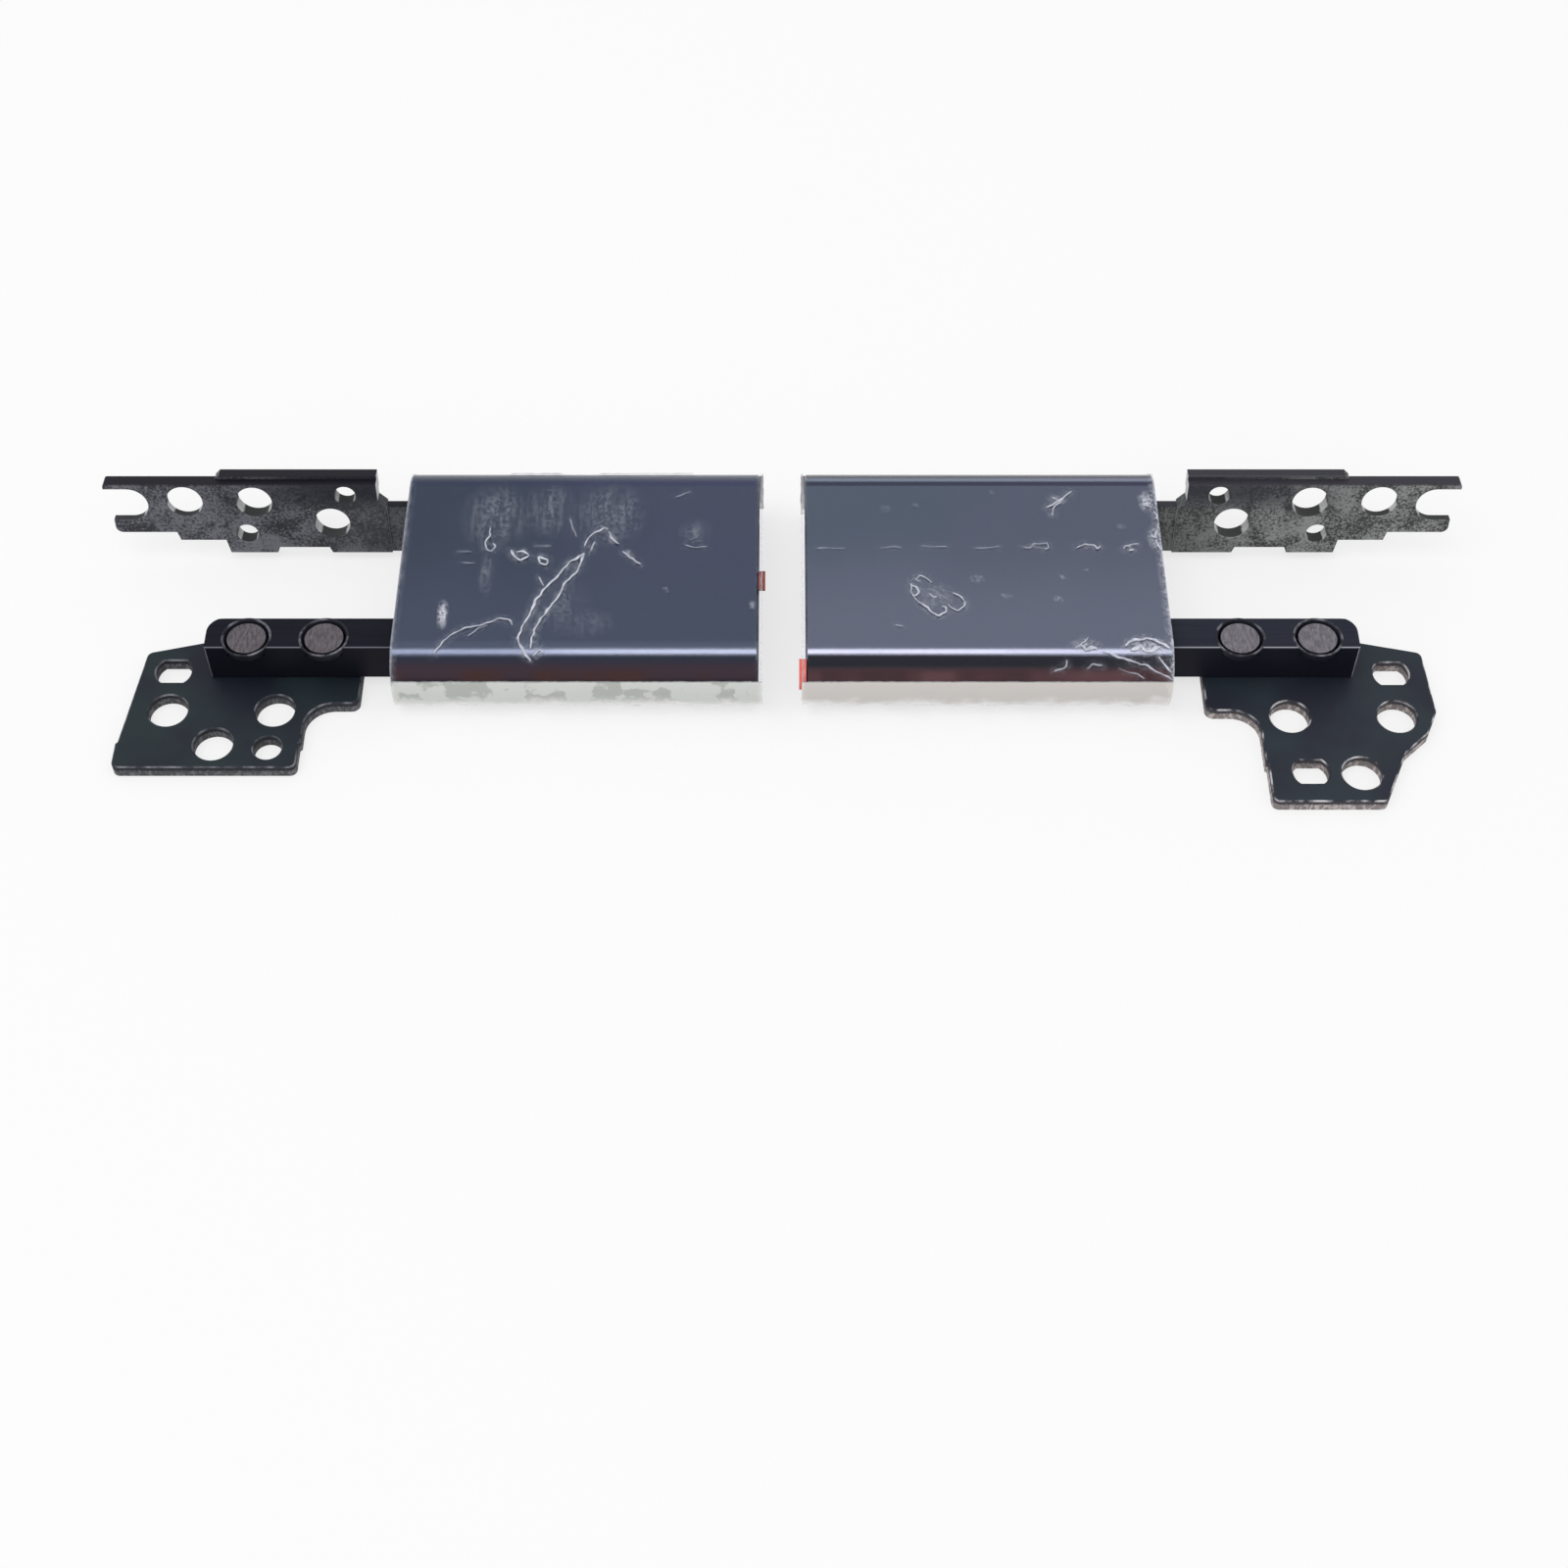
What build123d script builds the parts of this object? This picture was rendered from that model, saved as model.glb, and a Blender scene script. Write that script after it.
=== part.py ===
from build123d import *

import os
from math import atan2, degrees, radians, tan

# A pair of two-shaft hinges for a laptop that folds right round. Each hinge is a flat sleeve
# with two shafts, one for the base and one for the lid. X runs along the shafts, -Y is the side
# of the base plates and +Z is up. Pieces are drawn for the right hinge and mirrored for the left.

# Sleeve cover
pair_gap = 3.4  # between the two covers
cover_length = 25.8
cover_height = 5.3
cover_depth = 20.25
cover_wall = 0.4
cover_edge = 0.1  # bevel on the rims

# Film on the cover
film_t = 0.07
film_gap = 0.02
film_overhang = 0.3  # past the cover's inner end
film_skirt = 0.6  # height where the film ends, front and back
tab_t = 0.1
tab_reach = 0.5
tab_width = 1.8
flat_tab_forward = 1.85  # in front of the cover's middle
round_tab_drop = 0.45  # below the cover's top

# Shafts
shaft_spacing = 11.8
journal_d = 3.0  # in the outer carrier
friction_d = 2.6  # in the friction plates, and across the keyed flats
thread_d = 2.0
thread_flats = 1.6
thread_tail = 0.5  # past the nut
running_fit = 0.03
side_play = 0.05
turning_gap = 0.15  # between the sleeve and what turns in it

# Stack inside the sleeve, from the open end inwards
mouth_depth = 1.2
carrier_t = 1.2
stop_t = 0.8
friction_count = 4
friction_t = 3.3
friction_slit = 0.5
friction_web = 2.4
washer_t = 0.5
spring_count = 2
spring_t = 0.3
spring_rise = 0.2
nut_t = 1.6
nut_flats = 3.6
slide_fit = 0.05  # carriers and cap in the sleeve

# Stops: a bar on the outer carrier meets the lobe of each stop washer
stop_recess_d = 3.6
stop_bar_height = 1.0
stop_margin = 3.0  # degrees
swing_half = 90.0  # degrees that each shaft turns both ways from the flat, half-open hinge

# Cap at the inner end
cap_inset = 0.25
cap_t = 0.8
cap_skirt = 2.0
cap_wall = 0.7

# Squared tail of the base shaft
tail_reach = 13.4  # past the open end
tail_width = 2.85
tail_corner = 1.3
tail_edge = 0.12

# Rivets, measured from the tail's outer end
rivet_end = 2.9
rivet_pitch = 5.5
rivet_forward = 0.42  # in front of the tail's middle, so the pocket breaks its front edge
rivet_head_d = 2.75
rivet_pocket_d = 3.3
rivet_pocket = 0.9
rivet_recess = 0.1
rivet_shank_d = 1.8
rivet_foot_d = 2.7
rivet_foot = 0.45
rivet_fit = 0.03

# Base plates: reach past the open end, and rows in front of the base shaft's axis
plate_t = 1.0
plate_edge = 0.1
plate_near = 2.65
plate_back = 1.9
back_reach = 14.4  # where the back edge starts to slope
back_slope = 0.95
lobe_round = 0.6
bay_side = 2.15  # from the near screw to the bay's edge
bay_round = 2.0
corner_round = 0.5
nick = 0.15  # small steps left by the stamping tool
screw_d = 2.8
screw_near = 8.5
screw_pitch = 7.6
slot_reach = 16.2
slot_width = 2.0
slot_length = 2.55

left_lobe = 3.75
left_slot_row = 0.8
left_front = 9.5
left_nick_row = 7.2
left_side = 3.3  # from the far screw to the outer edge
left_corner_side = 2.1  # from the slot to the back corner
left_row_inset = 5.1  # from the front edge to the row of screws
left_screw_reach = 12.5
left_screw_inset = 2.08
left_peg_reach = 8.65
left_peg_inset = 1.75
left_peg_d = 2.0

right_lobe = 4.4
right_row = 4.95  # of the screws
right_slot_row = 1.0
right_front = 12.45
right_nick_row = 9.1
right_corner_side = 2.45
right_tip = (2.85, 4.5)  # from the far screw to the outer edge, and the row
right_cheek = (2.0, 6.45)
right_waist = (0.15, 8.2)
right_toe_reach = 14.4
right_pair_side = 0.725  # of the front slot and screw, outwards from the middle of the toe
right_pair_pitch = 3.55
right_screw_inset = 2.45
right_slot_inset = 2.6

# Lid brackets: reach past the open end, and height above the lid shaft's axis as they stand
lid_lean = 9.0  # degrees back from upright
lid_t = 1.1
lid_web_t = 0.6
lid_edge = 0.06
lid_root = 1.6  # where the tongue meets the plate
lid_near = 2.2
lid_reach = 22.2
lid_top = 4.2
tongue_t = 0.7
collar_t = 0.5
web_near = 14.0  # where the thin web starts
finger_t = 0.43
finger_low_reach = 21.85
finger_low = 0.18
finger_round = 0.5
notch_width = 2.78
notch_reach = 20.5
step_near = 17.2
step_low = 0.92
foot_far = 13.65
foot_near = 10.15
recess_near = 6.25
recess_low = 1.6
step_draft = 0.2
lip_far = 14.05
lip_set_back = 0.71  # behind the front face
lip_t = 0.75
lip_rise = 0.35
lip_depth = 1.3
lid_screw_d = 2.65
lid_screws = ((16.4, 2.65), (11.3, 2.6), (5.78, 0.67))
lid_peg_d = 1.6
lid_pegs = ((4.56, 3.2), (12.16, -0.29))

# Worked out from the sizes above
bore_height = cover_height - 2 * cover_wall
ring_d = bore_height - 2 * turning_gap  # all that turns in the sleeve
axis_z = cover_height / 2
tail_height = 2 * (axis_z - plate_t)  # the plate under the tail lies level with the cover
tail_top = axis_z + tail_height / 2
base_y = -shaft_spacing / 2
lid_y = shaft_spacing / 2
stop_bar_half = degrees(atan2(stop_bar_height, stop_recess_d + 2 * side_play))
stop_lobe_half = 180 - swing_half - stop_bar_half - stop_margin

# Stations along X
inner_x = pair_gap / 2
open_x = inner_x + cover_length
carrier_x = open_x - mouth_depth
collar_x = carrier_x + side_play
stop_x = carrier_x - carrier_t - side_play
friction_x = stop_x - stop_t - side_play
friction_pitch = friction_t + side_play
inner_carrier_x = friction_x - friction_count * friction_pitch
washer_x = inner_carrier_x - carrier_t - side_play
spring_x = washer_x - washer_t
spring_pitch = spring_t + spring_rise
nut_x = spring_x - spring_count * spring_pitch
thread_x = nut_x - nut_t - thread_tail
screw_far = screw_near + screw_pitch
bay_reach = screw_near - bay_side
left_reach = screw_far + left_side
left_row = left_front - left_row_inset
left_screw = (left_screw_reach, left_screw_inset - left_front)
left_peg = (left_peg_reach, left_peg_inset - left_front)
right_pair = (bay_reach + nick + right_toe_reach) / 2 + right_pair_side
right_screw = (right_pair + right_pair_pitch / 2, right_screw_inset - right_front)
right_slot = (right_pair - right_pair_pitch / 2, right_slot_inset - right_front)
rivet_places = [(open_x + tail_reach - rivet_end - i * rivet_pitch, -rivet_forward) for i in range(2)]

# The origin is in the middle of the pair, on the surface that it lies on
back_y = cover_depth / 2 + film_gap + film_t
front_y = base_y - max(left_front, right_front)
to_origin = Pos(0, -(front_y + back_y) / 2, 0)

# Pieces on a shaft are drawn with the hinge flat, on the middle of the frame at shaft height
on_base_axis = Pos(0, base_y, 0)
on_lid_axis = Pos(0, lid_y, axis_z) * Rot(swing_half - lid_lean, 0, 0) * Pos(0, 0, -axis_z)


def span(section, x_low, x_high):
    """Solid of a YZ section, drawn about shaft height, between two stations."""
    return extrude(Plane.YZ.offset(x_low) * Pos(0, axis_z) * section, amount=x_high - x_low)


def at_shafts(section):
    """The same section on both axes."""
    return Pos(base_y, 0) * section + Pos(lid_y, 0) * section


def stadium(grow):
    """The cover's outer section, larger or smaller all round."""
    return SlotOverall(cover_depth + 2 * grow, cover_height + 2 * grow)


def keyed(diameter, flats):
    """Round section with two flats."""
    return Circle(diameter / 2) & Rectangle(flats, diameter)


def outline(*corners):
    """Flat outline through corners given as x, y and rounding radius."""
    face = make_face(Polyline(*[(x, y) for x, y, rounding in corners], close=True))
    for x, y, rounding in corners:
        if rounding:
            face = fillet(face.vertices().sort_by_distance((x, y, 0))[0], rounding)
    return face


def holes(section, places):
    """One section at each of several places."""
    return [Pos(x, y) * section for x, y in places]


def bevel_top(solid, size):
    """Bevel all edges of the flat top."""
    return chamfer(solid.faces().sort_by(Axis.Z)[-1].edges(), size)


def cover():
    sleeve = span(stadium(0) - stadium(-cover_wall), inner_x, open_x)
    ends = sleeve.faces().filter_by(Axis.X)
    return chamfer([edge for end in ends for edge in end.outer_wire().edges()], cover_edge)


def protective_film():
    ring = stadium(film_gap + film_t) - stadium(film_gap)
    below = Pos(0, film_skirt - axis_z - cover_height) * Rectangle(2 * cover_depth, 2 * cover_height)
    return span(ring - below, inner_x - film_overhang, open_x)


def flat_pull_tab():
    """Red strip end level with the flat top, under the film's overhang."""
    strip = Pos(-flat_tab_forward, axis_z - tab_t / 2) * Rectangle(tab_width, tab_t)
    return span(strip, inner_x - tab_reach, inner_x)


def round_pull_tab():
    """Red strip end on the round front, under the film's overhang."""
    ring = stadium(0) - stadium(-tab_t)
    arc_y = cover_depth / 2 - cover_height / 2
    tab_z = axis_z - round_tab_drop - tab_width / 2
    strip = ring & Pos(-arc_y - cover_height / 4, tab_z) * Rectangle(cover_height / 2, tab_width)
    return span(strip, inner_x - tab_reach, inner_x)


def end_cap():
    x = inner_x + cap_inset
    plug = stadium(-cover_wall - slide_fit)
    hollow = stadium(-cover_wall - slide_fit - cap_wall)
    return span(plug, x, x + cap_t) + span(plug - hollow, x, x + cap_skirt)


def outer_carrier():
    plate = stadium(-cover_wall - slide_fit) - at_shafts(Circle(journal_d / 2 + running_fit))
    stop_bar = Rectangle(shaft_spacing - stop_recess_d - 2 * side_play, stop_bar_height)
    inner_face = carrier_x - carrier_t
    return span(plate, inner_face, carrier_x) + span(stop_bar, stop_x - stop_t, inner_face)


def inner_carrier():
    plate = stadium(-cover_wall - slide_fit) - at_shafts(Circle(friction_d / 2 + running_fit))
    return span(plate, inner_carrier_x - carrier_t, inner_carrier_x)


def friction_plates():
    """Stack of plates, each with a slit loop round both shafts."""
    plate = at_shafts(Circle(ring_d / 2)) + Rectangle(shaft_spacing, friction_web)
    plate -= at_shafts(Circle(friction_d / 2 + running_fit))
    plate -= Rectangle(shaft_spacing + 2 * ring_d, friction_slit) - Rectangle(shaft_spacing, ring_d)
    near_faces = [friction_x - i * friction_pitch for i in range(friction_count)]
    return [span(plate, x - friction_t, x) for x in near_faces]


def shaft_core():
    """Stepped shaft from its journal to its threaded end."""
    journal = span(Circle(journal_d / 2), carrier_x - carrier_t, collar_x)
    key = span(keyed(journal_d, friction_d), friction_x, carrier_x - carrier_t)
    neck = span(Circle(friction_d / 2), washer_x, friction_x)
    thread = span(keyed(thread_d, thread_flats), thread_x, washer_x)
    return journal + key + neck + thread


def stop_washer(side):
    """Keyed washer whose lobe points to -Y or +Y when the hinge is flat."""
    lobe_edge = ring_d * tan(radians(stop_lobe_half))
    wedge = Polygon((0, 0), (side * ring_d, lobe_edge), (side * ring_d, -lobe_edge), align=None)
    washer = Circle(stop_recess_d / 2) + (Circle(ring_d / 2) & wedge)
    washer -= keyed(journal_d + 2 * running_fit, friction_d + 2 * running_fit)
    return span(washer, stop_x - stop_t, stop_x)


def pressure_washer():
    hole = keyed(thread_d + 2 * running_fit, thread_flats + 2 * running_fit)
    return span(Circle(ring_d / 2) - hole, washer_x - washer_t, washer_x)


def disc_springs():
    """Cupped springs, facing alternate ways."""
    low_r = axis_z + thread_d / 2 + 2 * running_fit
    high_r = axis_z + ring_d / 2
    springs = []
    for i in range(spring_count):
        near = spring_x - i * spring_pitch
        low_x = near - spring_rise * (i % 2)
        high_x = near - spring_rise * (1 - i % 2)
        section = make_face(Polyline(
            (low_x, low_r), (high_x, high_r), (high_x - spring_t, high_r), (low_x - spring_t, low_r), close=True))
        springs.append(revolve(Plane.XZ * section, Axis((0, 0, axis_z), (1, 0, 0))))
    return springs


def lock_nut():
    hexagon = RegularPolygon(nut_flats / 2, 6, major_radius=False)
    return span(hexagon - Circle(thread_d / 2 + running_fit), nut_x - nut_t, nut_x)


def base_shaft():
    """Shaft with a tail milled square from round bar and drilled for the rivets."""
    tail = span(Rectangle(tail_width, tail_height) & Circle(ring_d / 2), collar_x, open_x + tail_reach)
    upright = tail.faces().sort_by(Axis.X)[-1].edges().filter_by(Axis.Z)
    tail = fillet(upright.sort_by(Axis.Y)[-1], tail_corner)
    front_corner = (open_x + tail_reach, -tail_width / 2, axis_z)
    tail = chamfer(tail.edges().filter_by(Axis.Z).sort_by_distance(front_corner)[0], tail_edge)
    for x, y in rivet_places:
        tail -= Pos(x, y, tail_top) * Cylinder(rivet_pocket_d / 2, 2 * rivet_pocket)
        tail -= Pos(x, y, axis_z) * Cylinder(rivet_shank_d / 2 + rivet_fit, 2 * tail_height)
    return tail + shaft_core()


def rivet_section(grow):
    """Half section of a rivet: round head, shank and a foot spread into the plate."""
    head = rivet_head_d / 2 + grow
    shank = rivet_shank_d / 2 + grow
    foot = rivet_foot_d / 2 + grow
    head_low = tail_top - rivet_pocket
    head_top = tail_top - rivet_recess
    return make_face(Polyline(
        (0, 0), (foot, 0), (shank, rivet_foot), (shank, head_low),
        (head, head_low), (head, head_top), (0, head_top), close=True))


def rivets(grow=0):
    return [Pos(x, y, 0) * revolve(Plane.XZ * rivet_section(grow), Axis.Z) for x, y in rivet_places]


def left_plate():
    return outline(
        (plate_near, plate_back, 0), (back_reach, plate_back, 0),
        (slot_reach + left_corner_side, plate_back - back_slope, corner_round),
        (left_reach - nick, -left_nick_row, 0), (left_reach, -left_nick_row - nick, 0),
        (left_reach, -left_front, corner_round), (bay_reach + nick, -left_front, corner_round),
        (bay_reach + nick, -left_nick_row - nick, 0), (bay_reach, -left_nick_row, 0),
        (bay_reach, -left_lobe, bay_round), (plate_near, -left_lobe, lobe_round))


def right_plate():
    tip, cheek, waist = [(screw_far + side, -row) for side, row in (right_tip, right_cheek, right_waist)]
    return outline(
        (plate_near, plate_back, 0), (back_reach, plate_back, 0),
        (slot_reach + right_corner_side, plate_back - back_slope, corner_round),
        (*tip, corner_round), (*cheek, corner_round), (*waist, 2 * corner_round),
        (right_toe_reach, -right_front, corner_round),
        (bay_reach + nick, -right_front, corner_round), (bay_reach + nick, -right_nick_row - nick, 0),
        (bay_reach, -right_nick_row, 0), (bay_reach, -right_lobe, bay_round),
        (plate_near, -right_lobe, lobe_round))


def locating_slot():
    return Circle(slot_length / 2) & Rectangle(slot_length, slot_width)


def base_bracket(plate, row, slot_row, screw, locator):
    """Stamped plate with its screw holes, its locating holes and the holes of its rivets."""
    screws = [(screw_near, -row), (screw_far, -row), screw]
    plate -= holes(Circle(screw_d / 2), screws)
    plate -= [Pos(slot_reach, -slot_row) * locating_slot(), locator]
    sheet = bevel_top(Pos(open_x, 0, 0) * extrude(plate, plate_t), plate_edge)
    return sheet - rivets(rivet_fit)


def lid_outline():
    """Bracket as it stands, seen from the front, with the notch in its outer end."""
    foot_low = ring_d / 2
    notch_row = lid_top - finger_t - notch_width / 2
    plate = outline(
        (lid_root, -foot_low, 0), (lid_root, foot_low, 0), (lid_near, foot_low + lid_near - lid_root, 0),
        (lid_near, lid_top, 0), (lid_reach, lid_top, finger_t / 2), (lid_reach, notch_row, 0),
        (finger_low_reach, notch_row, 0), (finger_low_reach, -finger_low, finger_round),
        (step_near + step_draft, -finger_low, 0), (step_near, -step_low, 0),
        (foot_far + step_draft, -step_low, 0), (foot_far, -foot_low, 0), (foot_near, -foot_low, 0),
        (foot_near - step_draft, -recess_low, 0), (recess_near, -recess_low, 0),
        (recess_near - step_draft, -foot_low, 0))
    notch = Circle(notch_width / 2) + Pos(lid_reach / 2, 0) * Rectangle(lid_reach, notch_width)
    return plate - Pos(notch_reach, notch_row) * notch


def lid_bracket():
    """Moulded bracket with a thin web, a stiffening lip and its own shaft, drawn lying face up."""
    front = axis_z + lid_t / 2
    relief_top = lid_top - finger_t
    corner = (Align.MIN, Align.MAX, Align.MAX)
    lip = Box(lip_far - lid_near, lip_depth, lip_t, align=corner)
    lip = chamfer(lip.edges().filter_by(Axis.Z).sort_by_distance((lip_far, 0, 0))[0], lip_rise)
    plate = extrude(Pos(0, 0, front - lid_t) * lid_outline(), lid_t)
    plate += Pos(lid_near, lid_top + lip_rise, front - lip_set_back) * lip
    plate -= Pos(web_near, relief_top, front - lid_web_t) * Box(lid_reach, 2 * ring_d, lid_t, align=corner)
    through = holes(Circle(lid_screw_d / 2), lid_screws) + holes(Circle(lid_peg_d / 2), lid_pegs)
    plate -= [Pos(0, 0, axis_z) * extrude(hole, 2 * lid_t, both=True) for hole in through]
    tongue = span(Rectangle(ring_d, tongue_t) & Circle(ring_d / 2), collar_x, open_x + lid_near)
    collar = span(Circle(ring_d / 2), collar_x, collar_x + collar_t)
    return Pos(open_x, 0, 0) * bevel_top(plate, lid_edge) + tongue + collar + shaft_core()


def fixed_pieces(pull_tab):
    return {
        "cover": cover(), "protective_film": protective_film(), "pull_tab": pull_tab, "end_cap": end_cap(),
        "outer_carrier": outer_carrier(), "inner_carrier": inner_carrier(), "friction_plates": friction_plates()}


def stack_pieces(lobe_side):
    return {
        "stop_washer": stop_washer(lobe_side), "pressure_washer": pressure_washer(),
        "disc_springs": disc_springs(), "lock_nut": lock_nut()}


def hinge(pull_tab, bracket):
    """Every piece of one hinge with the place it takes."""
    base = {"base_bracket": bracket, "base_shaft": base_shaft(), "base_rivets": rivets()}
    base.update({f"base_{name}": piece for name, piece in stack_pieces(-1).items()})
    lid = {"lid_bracket": lid_bracket()}
    lid.update({f"lid_{name}": piece for name, piece in stack_pieces(1).items()})
    groups = ((Pos(0, 0, 0), fixed_pieces(pull_tab)), (on_base_axis, base), (on_lid_axis, lid))
    return [(name, piece, to_origin * place) for place, group in groups for name, piece in group.items()]


left_hole = Pos(*left_peg) * Circle(left_peg_d / 2)
left_bracket = base_bracket(left_plate(), left_row, left_slot_row, left_screw, left_hole)
left_hinge = hinge(flat_pull_tab(), left_bracket)
right_hole = Pos(*right_slot) * locating_slot()
right_bracket = base_bracket(right_plate(), right_row, right_slot_row, right_screw, right_hole)
right_hinge = hinge(round_pull_tab(), right_bracket)

os.makedirs("parts", exist_ok=True)
for side, pieces in (("left", left_hinge), ("right", right_hinge)):
    for name, piece, place in pieces:
        like_pieces = piece if isinstance(piece, list) else [piece]
        solids = [(place * one).solid() for one in like_pieces]
        if side == "left":
            solids = [one.mirror(Plane.YZ) for one in solids]
        export_step(solids[0] if len(solids) == 1 else Compound(children=solids), f"parts/{side}_{name}.step")
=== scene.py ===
import math

import bpy
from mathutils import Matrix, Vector, kdtree, noise


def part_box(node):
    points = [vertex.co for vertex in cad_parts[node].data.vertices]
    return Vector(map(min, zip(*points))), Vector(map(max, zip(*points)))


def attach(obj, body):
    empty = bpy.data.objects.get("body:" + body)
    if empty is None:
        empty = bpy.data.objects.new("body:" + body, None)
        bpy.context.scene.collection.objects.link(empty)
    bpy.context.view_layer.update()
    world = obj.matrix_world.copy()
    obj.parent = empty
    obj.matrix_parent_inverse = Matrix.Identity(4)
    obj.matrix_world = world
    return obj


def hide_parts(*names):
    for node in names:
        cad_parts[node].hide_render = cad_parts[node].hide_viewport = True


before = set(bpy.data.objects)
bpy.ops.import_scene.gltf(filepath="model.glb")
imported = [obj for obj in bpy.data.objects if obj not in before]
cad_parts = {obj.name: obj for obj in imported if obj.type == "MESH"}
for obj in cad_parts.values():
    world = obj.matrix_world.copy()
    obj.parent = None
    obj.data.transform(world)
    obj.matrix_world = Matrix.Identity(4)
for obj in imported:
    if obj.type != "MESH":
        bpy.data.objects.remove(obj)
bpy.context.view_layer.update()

MM = 0.001
X, Y, Z = range(3)
SIDES = {"left": -1, "right": 1}

# All lengths below are in millimetres

# The covers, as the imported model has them
COVER_LOW, COVER_HIGH = (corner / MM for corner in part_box("right_cover"))
COVER_MIDDLE = (COVER_LOW.y + COVER_HIGH.y) / 2
COVER_ROUND = COVER_HIGH.z / 2
FLAT_HALF = (COVER_HIGH.y - COVER_LOW.y) / 2 - COVER_ROUND

# Painted reflections round the edges of the covers, dark and warm bands and painted highlights:
# from and to, in degrees from the front over the top, and what each leaves of red, green and blue
PAINTED_EDGE_REFLECTIONS = {
    "left": (
        (10, 26, (0.45, 0.24, 0.22)), (33, 46, (0.74, 0.38, 0.35)), (57, 62, (0.43, 0.38, 0.4)),
        (69, 73, (2.65, 2.3, 1.95)), (80, 83, (1.3, 1.3, 1.25)), (89, 91, (1.0, 1.0, 1.0)),
        (94, 101, (0.8, 0.75, 0.95)), (106, 180, (1.0, 1.0, 1.0))),
    "right": (
        (10, 12, (0.6, 0.3, 0.25)), (20, 36, (0.82, 0.36, 0.29)), (49, 63, (0.14, 0.14, 0.14)),
        (69, 74, (1.8, 1.65, 1.5)), (77, 91, (1.0, 1.0, 1.0)), (94, 99, (0.45, 0.42, 0.52)),
        (102, 108, (2.0, 1.9, 1.85)), (113, 136, (0.35, 0.32, 0.38)), (142, 180, (1.0, 1.0, 1.0)))}

# Film: its sheet, and the skirts that hang loose at the front and back
FILM_T = 0.07
FILM_MIDDLE = COVER_ROUND + 0.055
FILM_CELL = 0.2
FILM_OVERHANG = 0.3
FILM_WAVES = 0.012
END_WAVES = 0.07
END_WAVES_REACH = 0.6
SKIRT_LOW = 0.6
SKIRT_TOP = 3.72
SKIRT_LOOSE_PAST = 4.6
SKIRT_LIFT = 0.16

# Film: how far its milky ends and the glow along its creases reach, the glow partly painted highlight
INNER_MILK_REACH = 0.45
OUTER_MILK_REACH = 0.5
GLOW_REACH = 0.3
GLOW_MILK = 0.45
# Painted highlight along the film's cut edges
CUT_EDGE_HIGHLIGHT = 0.25

# Film: its raised creases
CREASE_STEP = 0.2
CREASE_WANDER = 0.14
CREASE_SPREAD = 1.15
CREASE_FLATNESS = 0.45
CREASE_PROUD = 0.01
# How white the creases turn, partly the film's own whitening and partly painted highlight
CREASE_WHITE_AND_HIGHLIGHT = 1.2

# Rivets in the tails of the base shafts, and the rims swaged up round them
RIVET_X = (38.0, 32.5)
RIVET_Y = -2.2525
TAIL_TOP = 4.3
RIM_RADIUS = 1.79
RIM_DEPTH = 0.85
RIM_WALL = 0.17
RIM_BORE = 0.8
RIM_FOOT = 0.3
RIM_PROUD = 0.03
RIM_EDGE = 0.03

# Front faces of the lid brackets, and the heights and place at which their finish changes
LID_AXIS = Vector((0.0, 9.9675, 2.65))
LID_TURN = math.radians(81.0)
LID_FRONT = 0.55
LID_SHOULDER = 5.6
LID_LIP = 7.0
LID_END = 30.3

# Marks of the mould on the lid brackets: radius, then distance past the open end and above the shaft
PIN_RINGS = {"pin_ring": (0.68, 8.2, 3.2), "small_pin_ring": (0.36, 18.55, 2.2)}
RING_DEPTH = 0.1
RING_WALL = 0.07
RING_BORE = 0.04
RING_SUNK = 0.02
RING_EDGE = 0.012
GATE_STUB = (0.3, 7.5, 1.78)
STUB_DEPTH = 0.2
STUB_STEP = 0.05
STUB_WALL = 0.05
STUB_DIMPLE = 0.03
STUB_SUNK = 0.04
STUB_EDGE = 0.02

# Soft key lamp, and the lamp over the covers that their round edges show as a bright line, over the painted
# highlight there
KEY_SIZE = (400.0, 300.0)
KEY_PLACE = (-120.0, -100.0, 420.0)
KEY_POWER = 0.55
STRIP_SIZE = (240.0, 80.0)
STRIP_PLACE = (0.0, 0.0, 300.0)
STRIP_LIGHT = 3.0

# Floor and what is round it: how bright both are, and how much of the floor's own shading shows
FLOOR_SIZE = 4000.0
FLOOR_PAPER = 0.9
FLOOR_WHITE = 0.7
WORLD_LIGHT = 0.8

# Camera
CAMERA_PLACE = (0.14, -118.9, 141.81)
CAMERA_TILT = 37.0
CAMERA_LENS = 58.3
CAMERA_NEAR = 5.0


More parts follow.
